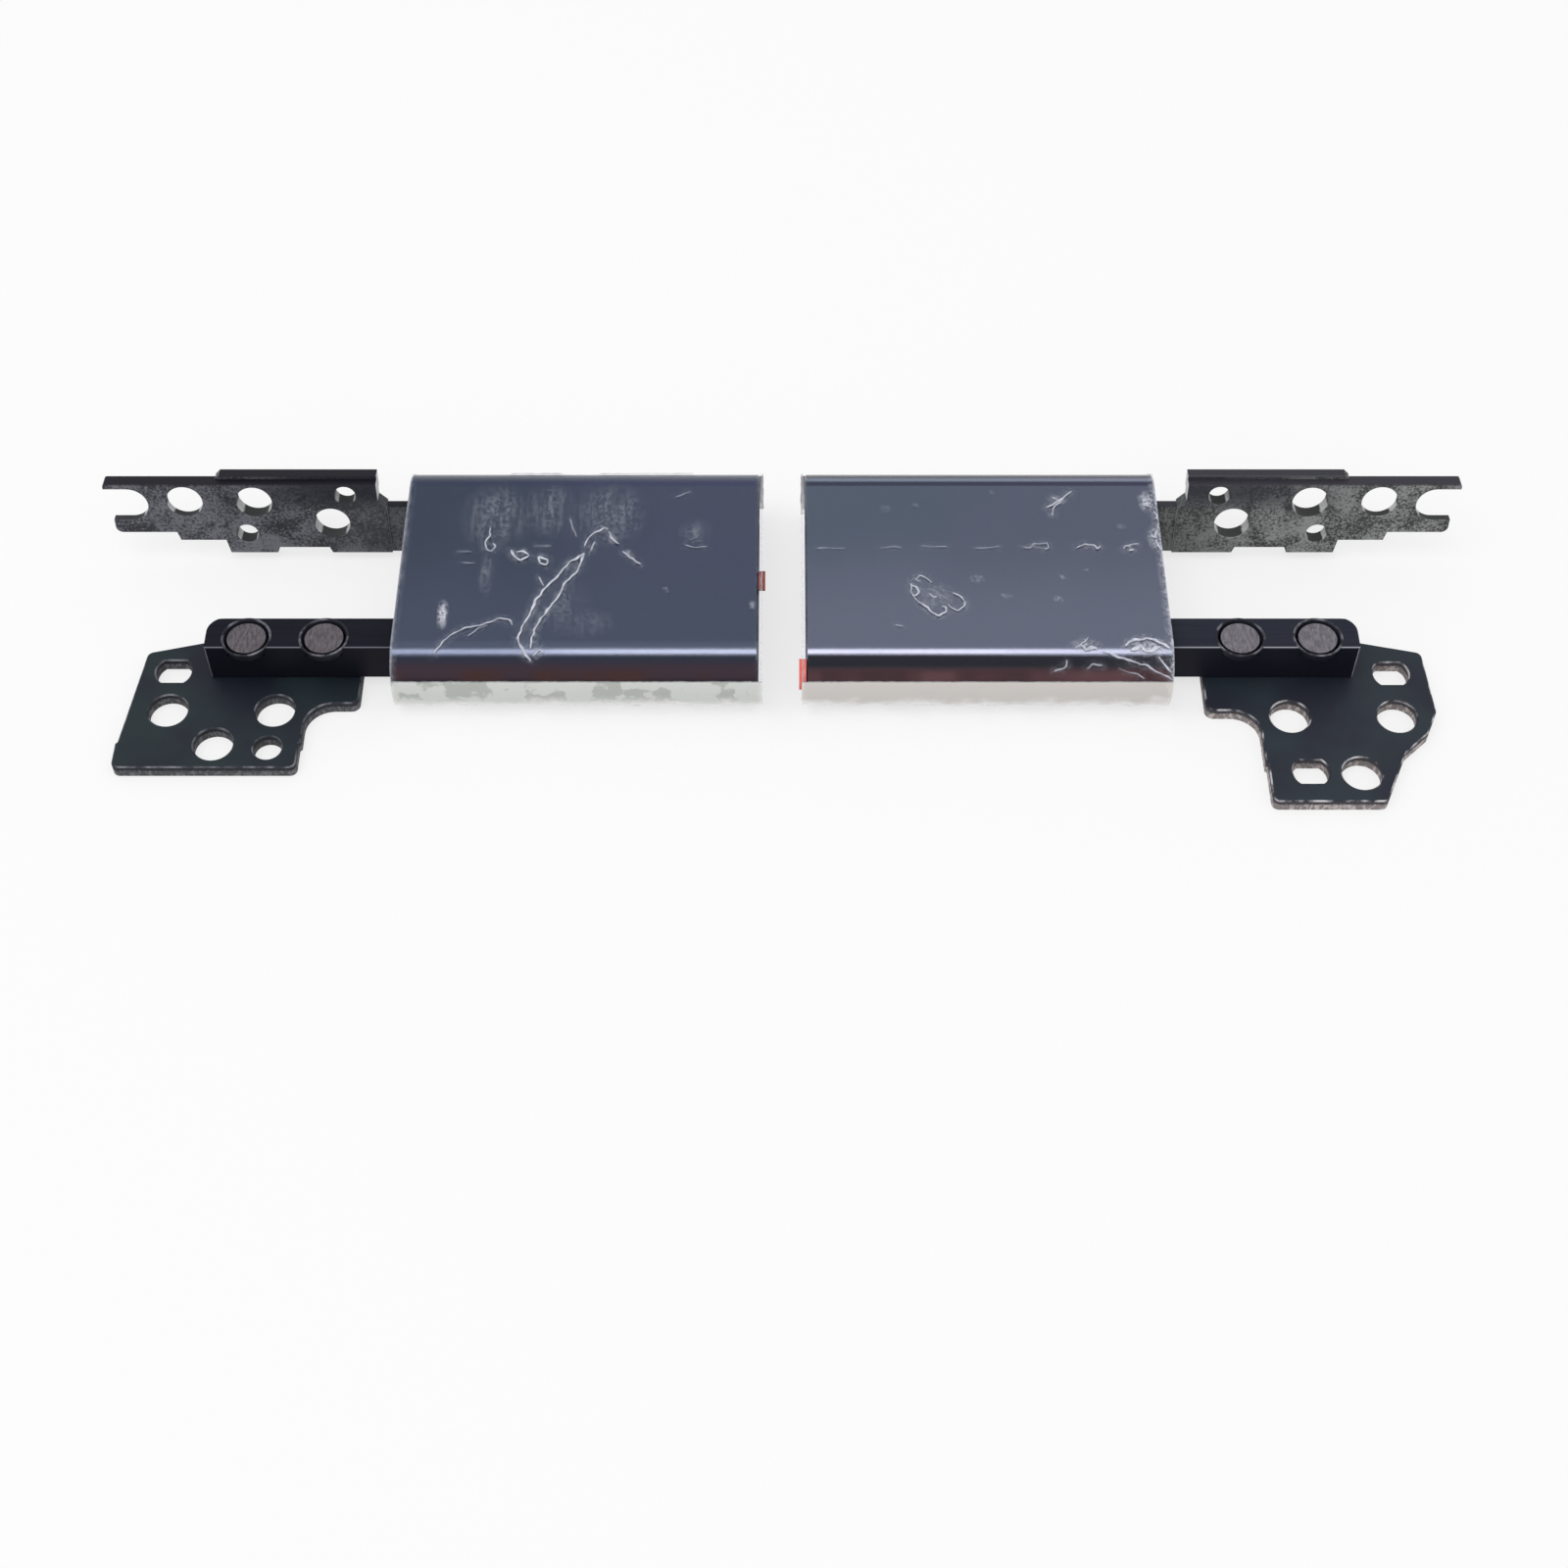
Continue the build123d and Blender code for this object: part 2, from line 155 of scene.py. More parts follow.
class Socket:
    """An output in a node tree. Arithmetic on it adds Math nodes."""

    def __init__(self, tree, output=None):
        self.tree = tree
        self.output = output

    def node(self, kind, settings=None, sockets=None, output=0):
        """Add a node: its settings first, then the values or links of its sockets."""
        made = self.tree.nodes.new(kind)
        for name, value in (settings or {}).items():
            if name == "stops":
                ramp = made.color_ramp
                while len(ramp.elements) < len(value):
                    ramp.elements.new(1.0)
                for element, (position, shade) in zip(ramp.elements, value):
                    element.position = position
                    element.color = shade
            else:
                setattr(made, name, value)
        for name, value in (sockets or {}).items():
            if isinstance(value, Socket):
                self.tree.links.new(value.output, made.inputs[name])
            else:
                made.inputs[name].default_value = value
        return Socket(self.tree, made.outputs[output])

    def work_out(self, operation, first, second):
        """Add a Math node."""
        return self.node("ShaderNodeMath", {"operation": operation}, {0: first, 1: second})

    def __add__(self, other):
        return self.work_out("ADD", self, other)

    def __radd__(self, other):
        return self.work_out("ADD", other, self)

    def __sub__(self, other):
        return self.work_out("SUBTRACT", self, other)

    def __rsub__(self, other):
        return self.work_out("SUBTRACT", other, self)

    def __mul__(self, other):
        return self.work_out("MULTIPLY", self, other)

    def __rmul__(self, other):
        return self.work_out("MULTIPLY", other, self)

    def __truediv__(self, other):
        return self.work_out("DIVIDE", self, other)

    def __rtruediv__(self, other):
        return self.work_out("DIVIDE", other, self)

    def __abs__(self):
        return self.work_out("ABSOLUTE", self, 0.0)


def colour(red, green, blue):
    """Linear colour of three display values from 0 to 255."""
    parts = [part / 255 for part in (red, green, blue)]
    parts = [part / 12.92 if part <= 0.04045 else ((part + 0.055) / 1.055) ** 2.4 for part in parts]
    return (*parts, 1.0)


def place_mm(tree):
    """Object coordinates in millimetres."""
    place = tree.node("ShaderNodeTexCoord", output="Object")
    return tree.node("ShaderNodeVectorMath", {"operation": "SCALE"}, {0: place, "Scale": 1 / MM})


def axis(vector, number):
    """One of the three numbers of a vector."""
    return vector.node("ShaderNodeSeparateXYZ", sockets={0: vector}, output=number)


def facing(tree, number):
    """How far the surface points along an axis of the piece itself."""
    return axis(tree.node("ShaderNodeTexCoord", output="Normal"), number)


def grain(place, scale, detail=2.0, stretch=(1.0, 1.0, 1.0), rough=0.5):
    """Noise of so many waves a millimetre, from 0 to 1."""
    place = place.node("ShaderNodeVectorMath", {"operation": "MULTIPLY"}, {0: place, 1: stretch})
    return place.node(
        "ShaderNodeTexNoise",
        sockets={"Vector": place, "Scale": scale, "Detail": detail, "Roughness": rough})


def coat_grain(place):
    """Fine grain of a coat or of matt plastic."""
    return grain(place, 7.0, 3.0)


def between(value, low, high):
    """0 below low, 1 above high and smooth between; the other way round if low is the larger."""
    rising = low < high
    step = value.node(
        "ShaderNodeMapRange", {"interpolation_type": "SMOOTHSTEP"},
        {"Value": value, "From Min": min(low, high), "From Max": max(low, high)})
    return step if rising else 1.0 - step


def right_hinge(place):
    """0 on the left hinge and 1 on the right."""
    return between(axis(place, X), -1.0, 1.0)


def blend(share, first, second):
    """Mix of two colours."""
    return share.node("ShaderNodeMix", {"data_type": "RGBA"}, {0: share, 6: first, 7: second}, output=2)


def bumps(height, strength, depth):
    """Normal from a height; depth is in millimetres."""
    return height.node(
        "ShaderNodeBump", sockets={"Height": height, "Strength": strength, "Distance": depth * MM})


def finish(name, paint, constants):
    """Material: constants on the shader's sockets, and what paint gives for the rest."""
    material = bpy.data.materials.new(name)
    material.use_nodes = True
    tree = material.node_tree
    shader = tree.nodes["Principled BSDF"]
    for socket, value in constants.items():
        shader.inputs[socket].default_value = value
    for socket, value in paint(Socket(tree)).items():
        tree.links.new(value.output, shader.inputs[socket])
    return material


def painted_edge_reflections(along, side):
    """Painted reflections round a cover's edges, dark and warm bands and painted highlights, the same above
    and below, from where its surface points.
    """
    turn = along.work_out("ARCCOSINE", -1.0 * along, 0.0)
    stops = [(degrees / 180, (*tint, 1.0)) for *ends, tint in PAINTED_EDGE_REFLECTIONS[side] for degrees in ends]
    return turn.node("ShaderNodeValToRGB", {"stops": stops}, {0: turn / math.pi})


def polished_sleeve(side, inner, outer, front, low, highlight_fade):
    """Polished, tinted metal of a cover, with painted reflections round its edges: tints for the inner end,
    the open end, the front and the painted reflection along its low edge, and how far the painted highlight
    over that edge fades towards the open end."""
    def paint(tree):
        place = place_mm(tree)
        x = axis(place, X)
        along = facing(tree, Y)
        cloud = grain(place, 0.14, 3.0, (1.0, 0.6, 1.0))
        lines = grain(place, 2.2, 2.0, (1.0, 0.06, 0.06))
        reach = abs(x) / COVER_HIGH.x + 1.2 * (cloud - 0.5) + 0.1 * (lines - 0.5)
        tint = blend(between(reach, 0.15, 0.95), colour(*inner), colour(*outer))
        near = between(axis(place, Y) + 5.0 * (cloud - 0.5), COVER_MIDDLE + 4.0, COVER_MIDDLE - 6.0)
        tint = blend(near, tint, colour(*front))
        # The tint times the painted reflections round the edges
        shaded = tree.node(
            "ShaderNodeMix", {"data_type": "RGBA", "blend_type": "MULTIPLY"},
            {0: 1.0, 6: tint, 7: painted_edge_reflections(along, side)}, output=2)
        # Where the painted highlight lies; towards the open end it is taken back to the plain tint
        line = between(along, -0.48, -0.43) * between(along, -0.1, -0.2)
        highlight_paint = between(abs(x) + 8.0 * (cloud - 0.5), 13.0, 21.0) * highlight_fade
        shaded = blend(line * highlight_paint, shaded, tint)
        # Darker painted reflection along the low front edge, uneven along its length
        uneven = between(grain(place, 0.22, 2.0, (1.0, 0.1, 0.1)), 0.4, 0.6)
        shaded = blend(between(along, -0.68, -0.8) * uneven * 0.8, shaded, colour(*low))
        return {"Base Color": shaded, "Roughness": 0.11 + 0.08 * lines + 0.1 * cloud}
    return paint


def clear_film(tree):
    """Clear film that turns milky at its smears and its loose skirt; at its creases the white is partly its
    own and partly painted highlight, and along its cut edges it is painted highlight.
    """
    place = place_mm(tree)
    z = axis(place, Z)
    right = right_hinge(place)
    crease = tree.node("ShaderNodeAttribute", {"attribute_name": "crease"}, output="Fac")
    haze = tree.node("ShaderNodeAttribute", {"attribute_name": "haze"}, output="Fac")
    fine = grain(place, 3.5, 3.0)
    streak = grain(place, 2.6, 3.0, (1.0, 0.1, 0.1), 0.65)
    grit = grain(place, 4.2, 4.0, rough=0.75)
    smear = between(grit + 0.5 * (streak - 0.5) * (1.0 - right), 0.44, 0.62)
    skirt = between(z + 0.1 * (fine - 0.5), SKIRT_TOP + 0.06, SKIRT_TOP - 0.04)
    cloud = grain(place, 0.75, 3.0)
    torn = blend(between(cloud, 0.45, 0.53), colour(188, 191, 186), colour(220, 222, 219))
    loose = blend(right, torn, colour(217, 212, 208))
    uneven_z = z + 2.5 * (cloud - 0.5)
    loose = blend(between(uneven_z, 2.4, 0.9), loose, colour(250, 249, 248))
    broken = between(grain(place, 1.6, 3.0), 0.3, 0.66)
    ragged = between(uneven_z, 0.6, 1.1)
    # From the crease attribute: white at the creases, partly painted highlight, and painted highlight along
    # the cut edges
    milk = crease * (0.2 + 0.5 * broken + 0.7 * grit) + haze * (0.1 + 0.9 * smear)
    milk = milk + skirt * (0.25 + 0.6 * ragged)
    return {
        "Base Color": blend(skirt, colour(214, 217, 230), loose),
        "Alpha": tree.node("ShaderNodeClamp", sockets={0: milk}),
        "Normal": bumps(fine, 0.2, 0.03)}


def black_plate(dark, light, shear_dark, shear_light, rim_highlight):
    """Black coated sheet of two near shades, its edges sheared bare below and a painted highlight along its
    rims.
    """
    def paint(tree):
        place = place_mm(tree)
        upward = facing(tree, Z)
        speckle = coat_grain(place)
        patch = between(grain(place, 0.2, 2.0), 0.35, 0.65)
        top = blend(patch, colour(*dark), colour(*light))
        top = blend(between(speckle, 0.66, 0.82) * 0.35, top, colour(66, 68, 78))
        nibble = between(grain(place, 3.4, 3.0, (1.0, 1.0, 0.45)), 0.46, 0.62)
        torn = between(axis(place, Z) + 0.4 * (speckle - 0.5), 0.68, 0.5)
        shear = blend(torn * (0.4 + 0.6 * nibble), colour(*shear_dark), colour(*shear_light))
        side = between(abs(upward), 0.5, 0.3)
        # Painted highlight along the chamfered rims, broken up by noise
        rim = between(upward, 0.5, 0.6) * between(upward, 0.95, 0.85)
        highlight_paint = blend(between(grain(place, 0.9, 3.0), 0.42, 0.66), colour(46, 48, 57), colour(*rim_highlight))
        return {
            "Base Color": blend(rim, blend(side, top, shear), highlight_paint),
            "Roughness": 0.4 + 0.2 * speckle + 0.2 * side,
            "Normal": bumps(speckle + 2.0 * side * nibble, 0.25, 0.03)}
    return paint


def black_bar(tree):
    """Black coated tail of the base shaft, its front faces painted darker as shade, with painted highlights
    along its front edge and its outer corner.
    """
    place = place_mm(tree)
    across, along, upward = (facing(tree, number) for number in (X, Y, Z))
    right = right_hinge(place)
    drawn = grain(place, 3.0, 2.0, (0.05, 1.0, 1.0))
    speckle = coat_grain(place)
    left_coat = blend(drawn, colour(14, 14, 25), colour(26, 27, 38))
    right_coat = blend(drawn, colour(30, 33, 45), colour(44, 48, 59))
    coat = blend(right, left_coat, right_coat)
    # Painted shade: the faces that point to the front are darker
    coat = blend(between(along, -0.2, -0.9) * 0.8, coat, colour(19, 18, 28))
    # Painted highlights along the top front edge and the outer front corner
    front = between(along, -0.1, -0.3) * between(upward, 0.97, 0.9)
    top = between(axis(place, Z), TAIL_TOP - 0.07, TAIL_TOP - 0.04)
    edge = front * between(upward, 0.55, 0.65) * top
    corner = between(along, -0.4, -0.6) * between(abs(across), 0.4, 0.6)
    highlight_paint = blend(right, colour(112, 110, 122), colour(156, 156, 166))
    return {
        "Base Color": blend(edge + corner * 0.7, coat, highlight_paint),
        "Roughness": 0.38 + 0.2 * speckle,
        "Normal": bumps(speckle + drawn, 0.15, 0.02)}


def swaged_rim(tree):
    """Coated metal pushed up round a rivet, worn on its crest."""
    place = place_mm(tree)
    speckle = coat_grain(place)
    crest = between(axis(place, Z), TAIL_TOP - 0.05, TAIL_TOP + 0.01)
    wear = between(grain(place, 1.0, 3.0), 0.42, 0.7) * crest
    return {
        "Base Color": blend(wear, colour(26, 27, 37), colour(126, 126, 136)),
        "Roughness": 0.38 + 0.2 * speckle,
        "Normal": bumps(speckle, 0.15, 0.02)}


def ground_rivet(tree):
    """Ground steel heads with fine scratches."""
    place = place_mm(tree)
    right = right_hinge(place)
    scratch = grain(place, 5.0, 3.0, (1.0, 0.25, 1.0), 0.7)
    cross = grain(place, 4.0, 3.0, (0.3, 1.0, 1.0), 0.7)
    dark = blend(right, colour(66, 60, 67), colour(84, 80, 89))
    light = blend(right, colour(104, 98, 104), colour(124, 120, 128))
    face = blend(between(scratch, 0.3, 0.7), dark, light)
    face = blend(between(cross, 0.6, 0.75) * 0.6, face, colour(150, 146, 152))
    return {
        "Base Color": blend(between(facing(tree, Z), 0.5, 0.8), colour(40, 40, 47), face),
        "Roughness": 0.45 + 0.2 * scratch,
        "Normal": bumps(scratch + cross, 0.2, 0.015)}


def moulded_bracket(tree):
    """Grainy grey moulded metal: dark on top, with painted shadow high on its face under the lip, painted
    shade and bright painted highlights on the sides of its holes, and a painted highlight on its end by the
    cover."""
    place = place_mm(tree)
    x = axis(place, X)
    z = axis(place, Z)
    across, along, upward = (facing(tree, number) for number in (X, Y, Z))
    outward = math.cos(LID_TURN) * upward - math.sin(LID_TURN) * along
    right = right_hinge(place)
    pits = grain(place, 5.0, 4.0, rough=0.7)
    cloud = grain(place, 0.5, 3.0)

    dark = blend(right, colour(46, 47, 53), colour(60, 62, 61))
    light = blend(right, colour(112, 113, 120), colour(146, 148, 147))
    face = blend(between(pits + 0.6 * (cloud - 0.5), 0.36, 0.64), dark, light)
    root = between(abs(x) + 3.0 * (cloud - 0.5), 36.0, 30.0)
    face = blend(root * 0.3, face, blend(right, colour(84, 86, 90), colour(70, 72, 68)))
    # Painted shadow: the face darker high up under the lip, more so nearer the cover end
    painted_shadow = between(z + 1.5 * (cloud - 0.5), 3.8, 6.2) * between(abs(x), 45.0, 33.0)
    face = blend(painted_shadow * 0.85, face, blend(right, colour(30, 31, 41), colour(50, 50, 60)))

    top_dark = blend(right, colour(4, 4, 10), colour(32, 31, 40))
    top_light = blend(right, colour(24, 22, 36), colour(64, 62, 70))
    top = blend(pits, top_dark, top_light)

    # Sides of the holes: painted shade, with painted highlights where they turn sideways
    painted_glint = between(abs(across) + 0.2 * (pits - 0.5), 0.64, 0.74) * between(abs(across), 0.995, 0.97)
    wall_shade_and_glint = blend(pits, blend(right, colour(22, 23, 27), colour(34, 36, 32)), colour(70, 71, 72))
    wall_shade_and_glint = blend(painted_glint, wall_shade_and_glint, blend(pits, colour(140, 141, 144), colour(236, 236, 236)))

    high = between(z, LID_SHOULDER - 0.2, LID_SHOULDER + 0.2)
    low_outside = between(abs(x), LID_END + 0.1, LID_END + 0.5) * (1.0 - high)
    hole = between(abs(outward), 0.5, 0.2) * low_outside
    upper = between(upward, 0.7, 0.9) * (1.0 - low_outside)
    lip = between(along, -0.7, -0.9) * between(z, LID_LIP - 0.02, LID_LIP + 0.04)
    # Painted highlight on the end by the cover, its sloped face lit from above
    by_cover = between(abs(x), LID_END, LID_END - 0.4)
    end = by_cover * between(abs(across), 0.7, 0.9) * between(upward, 0.3, 0.1)
    tint = blend(upper, blend(hole, face, wall_shade_and_glint), top)
    tint = blend(lip, tint, blend(right, colour(52, 52, 59), colour(92, 94, 100)))
    return {
        "Base Color": blend(end, tint, colour(226, 226, 226)),
        "Roughness": 0.5 + 0.2 * pits,
        "Normal": bumps(pits, 0.4, 0.04)}


def plain_steel(tree):
    """Machined steel inside the sleeve."""
    turned = grain(place_mm(tree), 3.0, 2.0, (0.3, 1.0, 1.0))
    return {
        "Base Color": blend(turned, colour(112, 114, 120), colour(158, 160, 164)),
        "Roughness": 0.3 + 0.2 * turned,
        "Normal": bumps(turned, 0.2, 0.02)}


def matt_plastic(dark, light):
    """Matt plastic of two near shades."""
    def paint(tree):
        place = place_mm(tree)
        speckle = coat_grain(place)
        return {
            "Base Color": blend(between(grain(place, 0.8), 0.35, 0.65), colour(*dark), colour(*light)),
            "Roughness": 0.45 + 0.2 * speckle,
            "Normal": bumps(speckle, 0.3, 0.02)}
    return paint


# What is the same all over a finish, by the shader's sockets
POLISH = {"Metallic": 1.0, "Coat Weight": 0.2, "Coat Roughness": 0.05}
FILM_GLOSS = {"Roughness": 0.3}
COAT_GLOSS = {"Specular IOR Level": 0.2}
BAR_GLOSS = {"Specular IOR Level": 0.08}
PLASTIC_GLOSS = {"Specular IOR Level": 0.3}
GROUND = {"Metallic": 0.35}
STEEL = {"Metallic": 1.0}

# Sleeves: tints of the inner end, open end and front, the painted reflection on the low edge, and how far
# the painted highlight fades
LEFT_SLEEVE = polished_sleeve("left", (69, 75, 95), (58, 67, 84), (68, 76, 95), (66, 43, 40), 0.6)
RIGHT_SLEEVE = polished_sleeve("right", (80, 90, 106), (86, 91, 109), (98, 103, 121), (58, 40, 44), 0.3)
LEFT_PLATE = black_plate((26, 30, 41), (31, 43, 48), (38, 40, 46), (112, 112, 116), (122, 123, 130))
RIGHT_PLATE = black_plate((33, 36, 48), (38, 47, 55), (66, 63, 67), (192, 183, 182), (196, 194, 198))

FINISHES = {name: finish(name, paint, constants) for name, paint, constants in (
    ("left_sleeve", LEFT_SLEEVE, POLISH),
    ("right_sleeve", RIGHT_SLEEVE, POLISH),
    ("clear_film", clear_film, FILM_GLOSS),
    ("left_plate", LEFT_PLATE, COAT_GLOSS),
    ("right_plate", RIGHT_PLATE, COAT_GLOSS),
    ("black_bar", black_bar, BAR_GLOSS),
    ("swaged_rim", swaged_rim, COAT_GLOSS),
    ("ground_rivet", ground_rivet, GROUND),
    ("moulded_bracket", moulded_bracket, COAT_GLOSS),
    ("plain_steel", plain_steel, STEEL),
    ("black_plastic", matt_plastic((20, 20, 23), (30, 30, 34)), PLASTIC_GLOSS),
    ("left_tab", matt_plastic((112, 44, 36), (136, 62, 50)), PLASTIC_GLOSS),
    ("right_tab", matt_plastic((220, 98, 88), (232, 124, 112)), PLASTIC_GLOSS))}

# The finish of each CAD node that shows as it is, by the end of its name; the rest is plain steel
NODE_FINISHES = {
    "end_cap": "black_plastic", "base_shaft": "black_bar", "base_rivets": "ground_rivet",
    "lid_bracket": "moulded_bracket"}
SIDE_FINISHES = {"cover": "sleeve", "base_bracket": "plate", "pull_tab": "tab"}


def dress_nodes():
    """Give every CAD node its finish."""
    for name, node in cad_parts.items():
        side, piece = name.split("_", 1)
        if piece in SIDE_FINISHES:
            material = FINISHES[f"{side}_{SIDE_FINISHES[piece]}"]
        else:
            material = FINISHES[NODE_FINISHES.get(piece, "plain_steel")]
        for slot in node.material_slots:
            slot.material = material


def deselect():
    """Select nothing."""
    for one in bpy.context.selected_objects:
        one.select_set(False)


def pick(*objects):
    """Select only these, the first of them active."""
    deselect()
    for one in objects:
        one.select_set(True)
    bpy.context.view_layer.objects.active = objects[0]


def newest(name):
    """The object that an operator has just added, named."""
    made = bpy.context.view_layer.objects.active
    made.name = name
    made.data.name = name
    return made


def settle(piece):
    """Put the piece's place in its mesh."""
    pick(piece)
    bpy.ops.object.transform_apply(location=True, rotation=True, scale=True)


def apply_modifier(piece, kind, **settings):
    """Give a piece a modifier and apply it."""
    pick(piece)
    modifier = piece.modifiers.new(kind.title(), kind)
    for name, value in settings.items():
        setattr(modifier, name, value)
    bpy.ops.object.modifier_apply(modifier=modifier.name)


def dress(piece, body, slot, material, *replaced):
    """Give a new piece its finish, the body it rides on and the CAD nodes that it replaces; its slot is not
    used.
    """
    piece.data.materials.clear()
    piece.data.materials.append(FINISHES[material])
    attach(piece, body)
    if replaced:
        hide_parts(*replaced)


# Creases of the films: half width, how white, and points as x and the distance along the film from the
# middle of the flat top, towards the front

LEFT_CREASES = (
    (0.075, 0.75, ((-14.3, -0.7), (-15.3, 0.2), (-16.3, 1.8), (-17.4, 3.5), (-17.9, 5.3),
                   (-18.4, 6.5), (-18.6, 7.4), (-18.2, 8.4), (-17.6, 9.0))),
    (0.07, 0.7, ((-14.3, -0.7), (-14.7, 1.0), (-15.5, 2.1), (-16.0, 3.5), (-16.9, 5.2),
                 (-17.5, 6.5), (-17.6, 7.6), (-17.7, 8.2))),
    (0.06, 0.7, ((-17.4, 8.7), (-17.0, 8.2), (-16.8, 8.5))),
    (0.05, 0.6, ((-21.2, -3.2), (-21.2, -2.5), (-21.5, -1.8), (-21.4, -1.1), (-21.0, -0.9),
                 (-20.8, -1.3), (-20.9, -1.7))),
    (0.07, 0.75, ((-19.6, -1.0), (-19.3, -0.4), (-18.9, 0.0), (-18.4, -0.3), (-18.3, -0.6),
                  (-18.7, -0.9), (-19.1, -0.8))),
    (0.06, 0.7, ((-17.6, -0.3), (-17.4, 0.2), (-16.9, 0.4), (-16.9, -0.1), (-17.3, -0.3),
                 (-17.6, -0.3))),
    (0.05, 0.5, ((-17.4, 1.6), (-17.2, 2.0), (-17.0, 2.4))),
    (0.05, 0.55, ((-24.4, 8.6), (-23.9, 7.7), (-23.1, 6.8), (-22.4, 6.4), (-21.6, 6.2),
                  (-20.8, 5.9), (-19.9, 5.5), (-19.3, 5.6), (-19.1, 6.1))),
    (0.04, 0.35, ((-22.1, 7.1), (-21.4, 6.4), (-20.8, 6.1))),
    (0.06, 0.6, ((-14.3, -1.4), (-14.0, -2.3), (-13.4, -2.9), (-12.9, -3.2))),
    (0.05, 0.5, ((-13.8, -0.9), (-13.7, -1.4), (-13.5, -1.8))),
    (0.06, 0.6, ((-12.6, -2.8), (-12.3, -2.1), (-11.9, -1.6))),
    (0.06, 0.55, ((-11.5, -0.9), (-11.1, -0.5), (-10.5, 0.1), (-10.2, 0.3))),
    (0.035, 0.35, ((-7.0, -1.5), (-6.7, -1.3), (-5.9, -1.3), (-5.4, -1.4))),
    (0.035, 0.3, ((-7.8, -6.3), (-6.8, -6.8))),
    (0.035, 0.3, ((-15.5, -4.2), (-15.3, -3.4), (-14.9, -2.3))),
    (0.035, 0.3, ((-17.9, -1.4), (-17.3, -1.4), (-16.7, -1.4))),
    (0.035, 0.2, ((-23.5, -0.9), (-22.4, -0.9))),
    (0.035, 0.2, ((-23.1, 0.2), (-22.2, 0.2))),
    (0.07, 0.7, ((-20.2, -9.3), (-19.2, -9.6), (-18.3, -9.2), (-17.5, -9.6), (-16.3, -9.4))),
    (0.06, 0.5, ((-13.6, -9.5), (-11.8, -9.3), (-10.1, -9.6), (-8.4, -9.4), (-6.6, -9.5))),
)
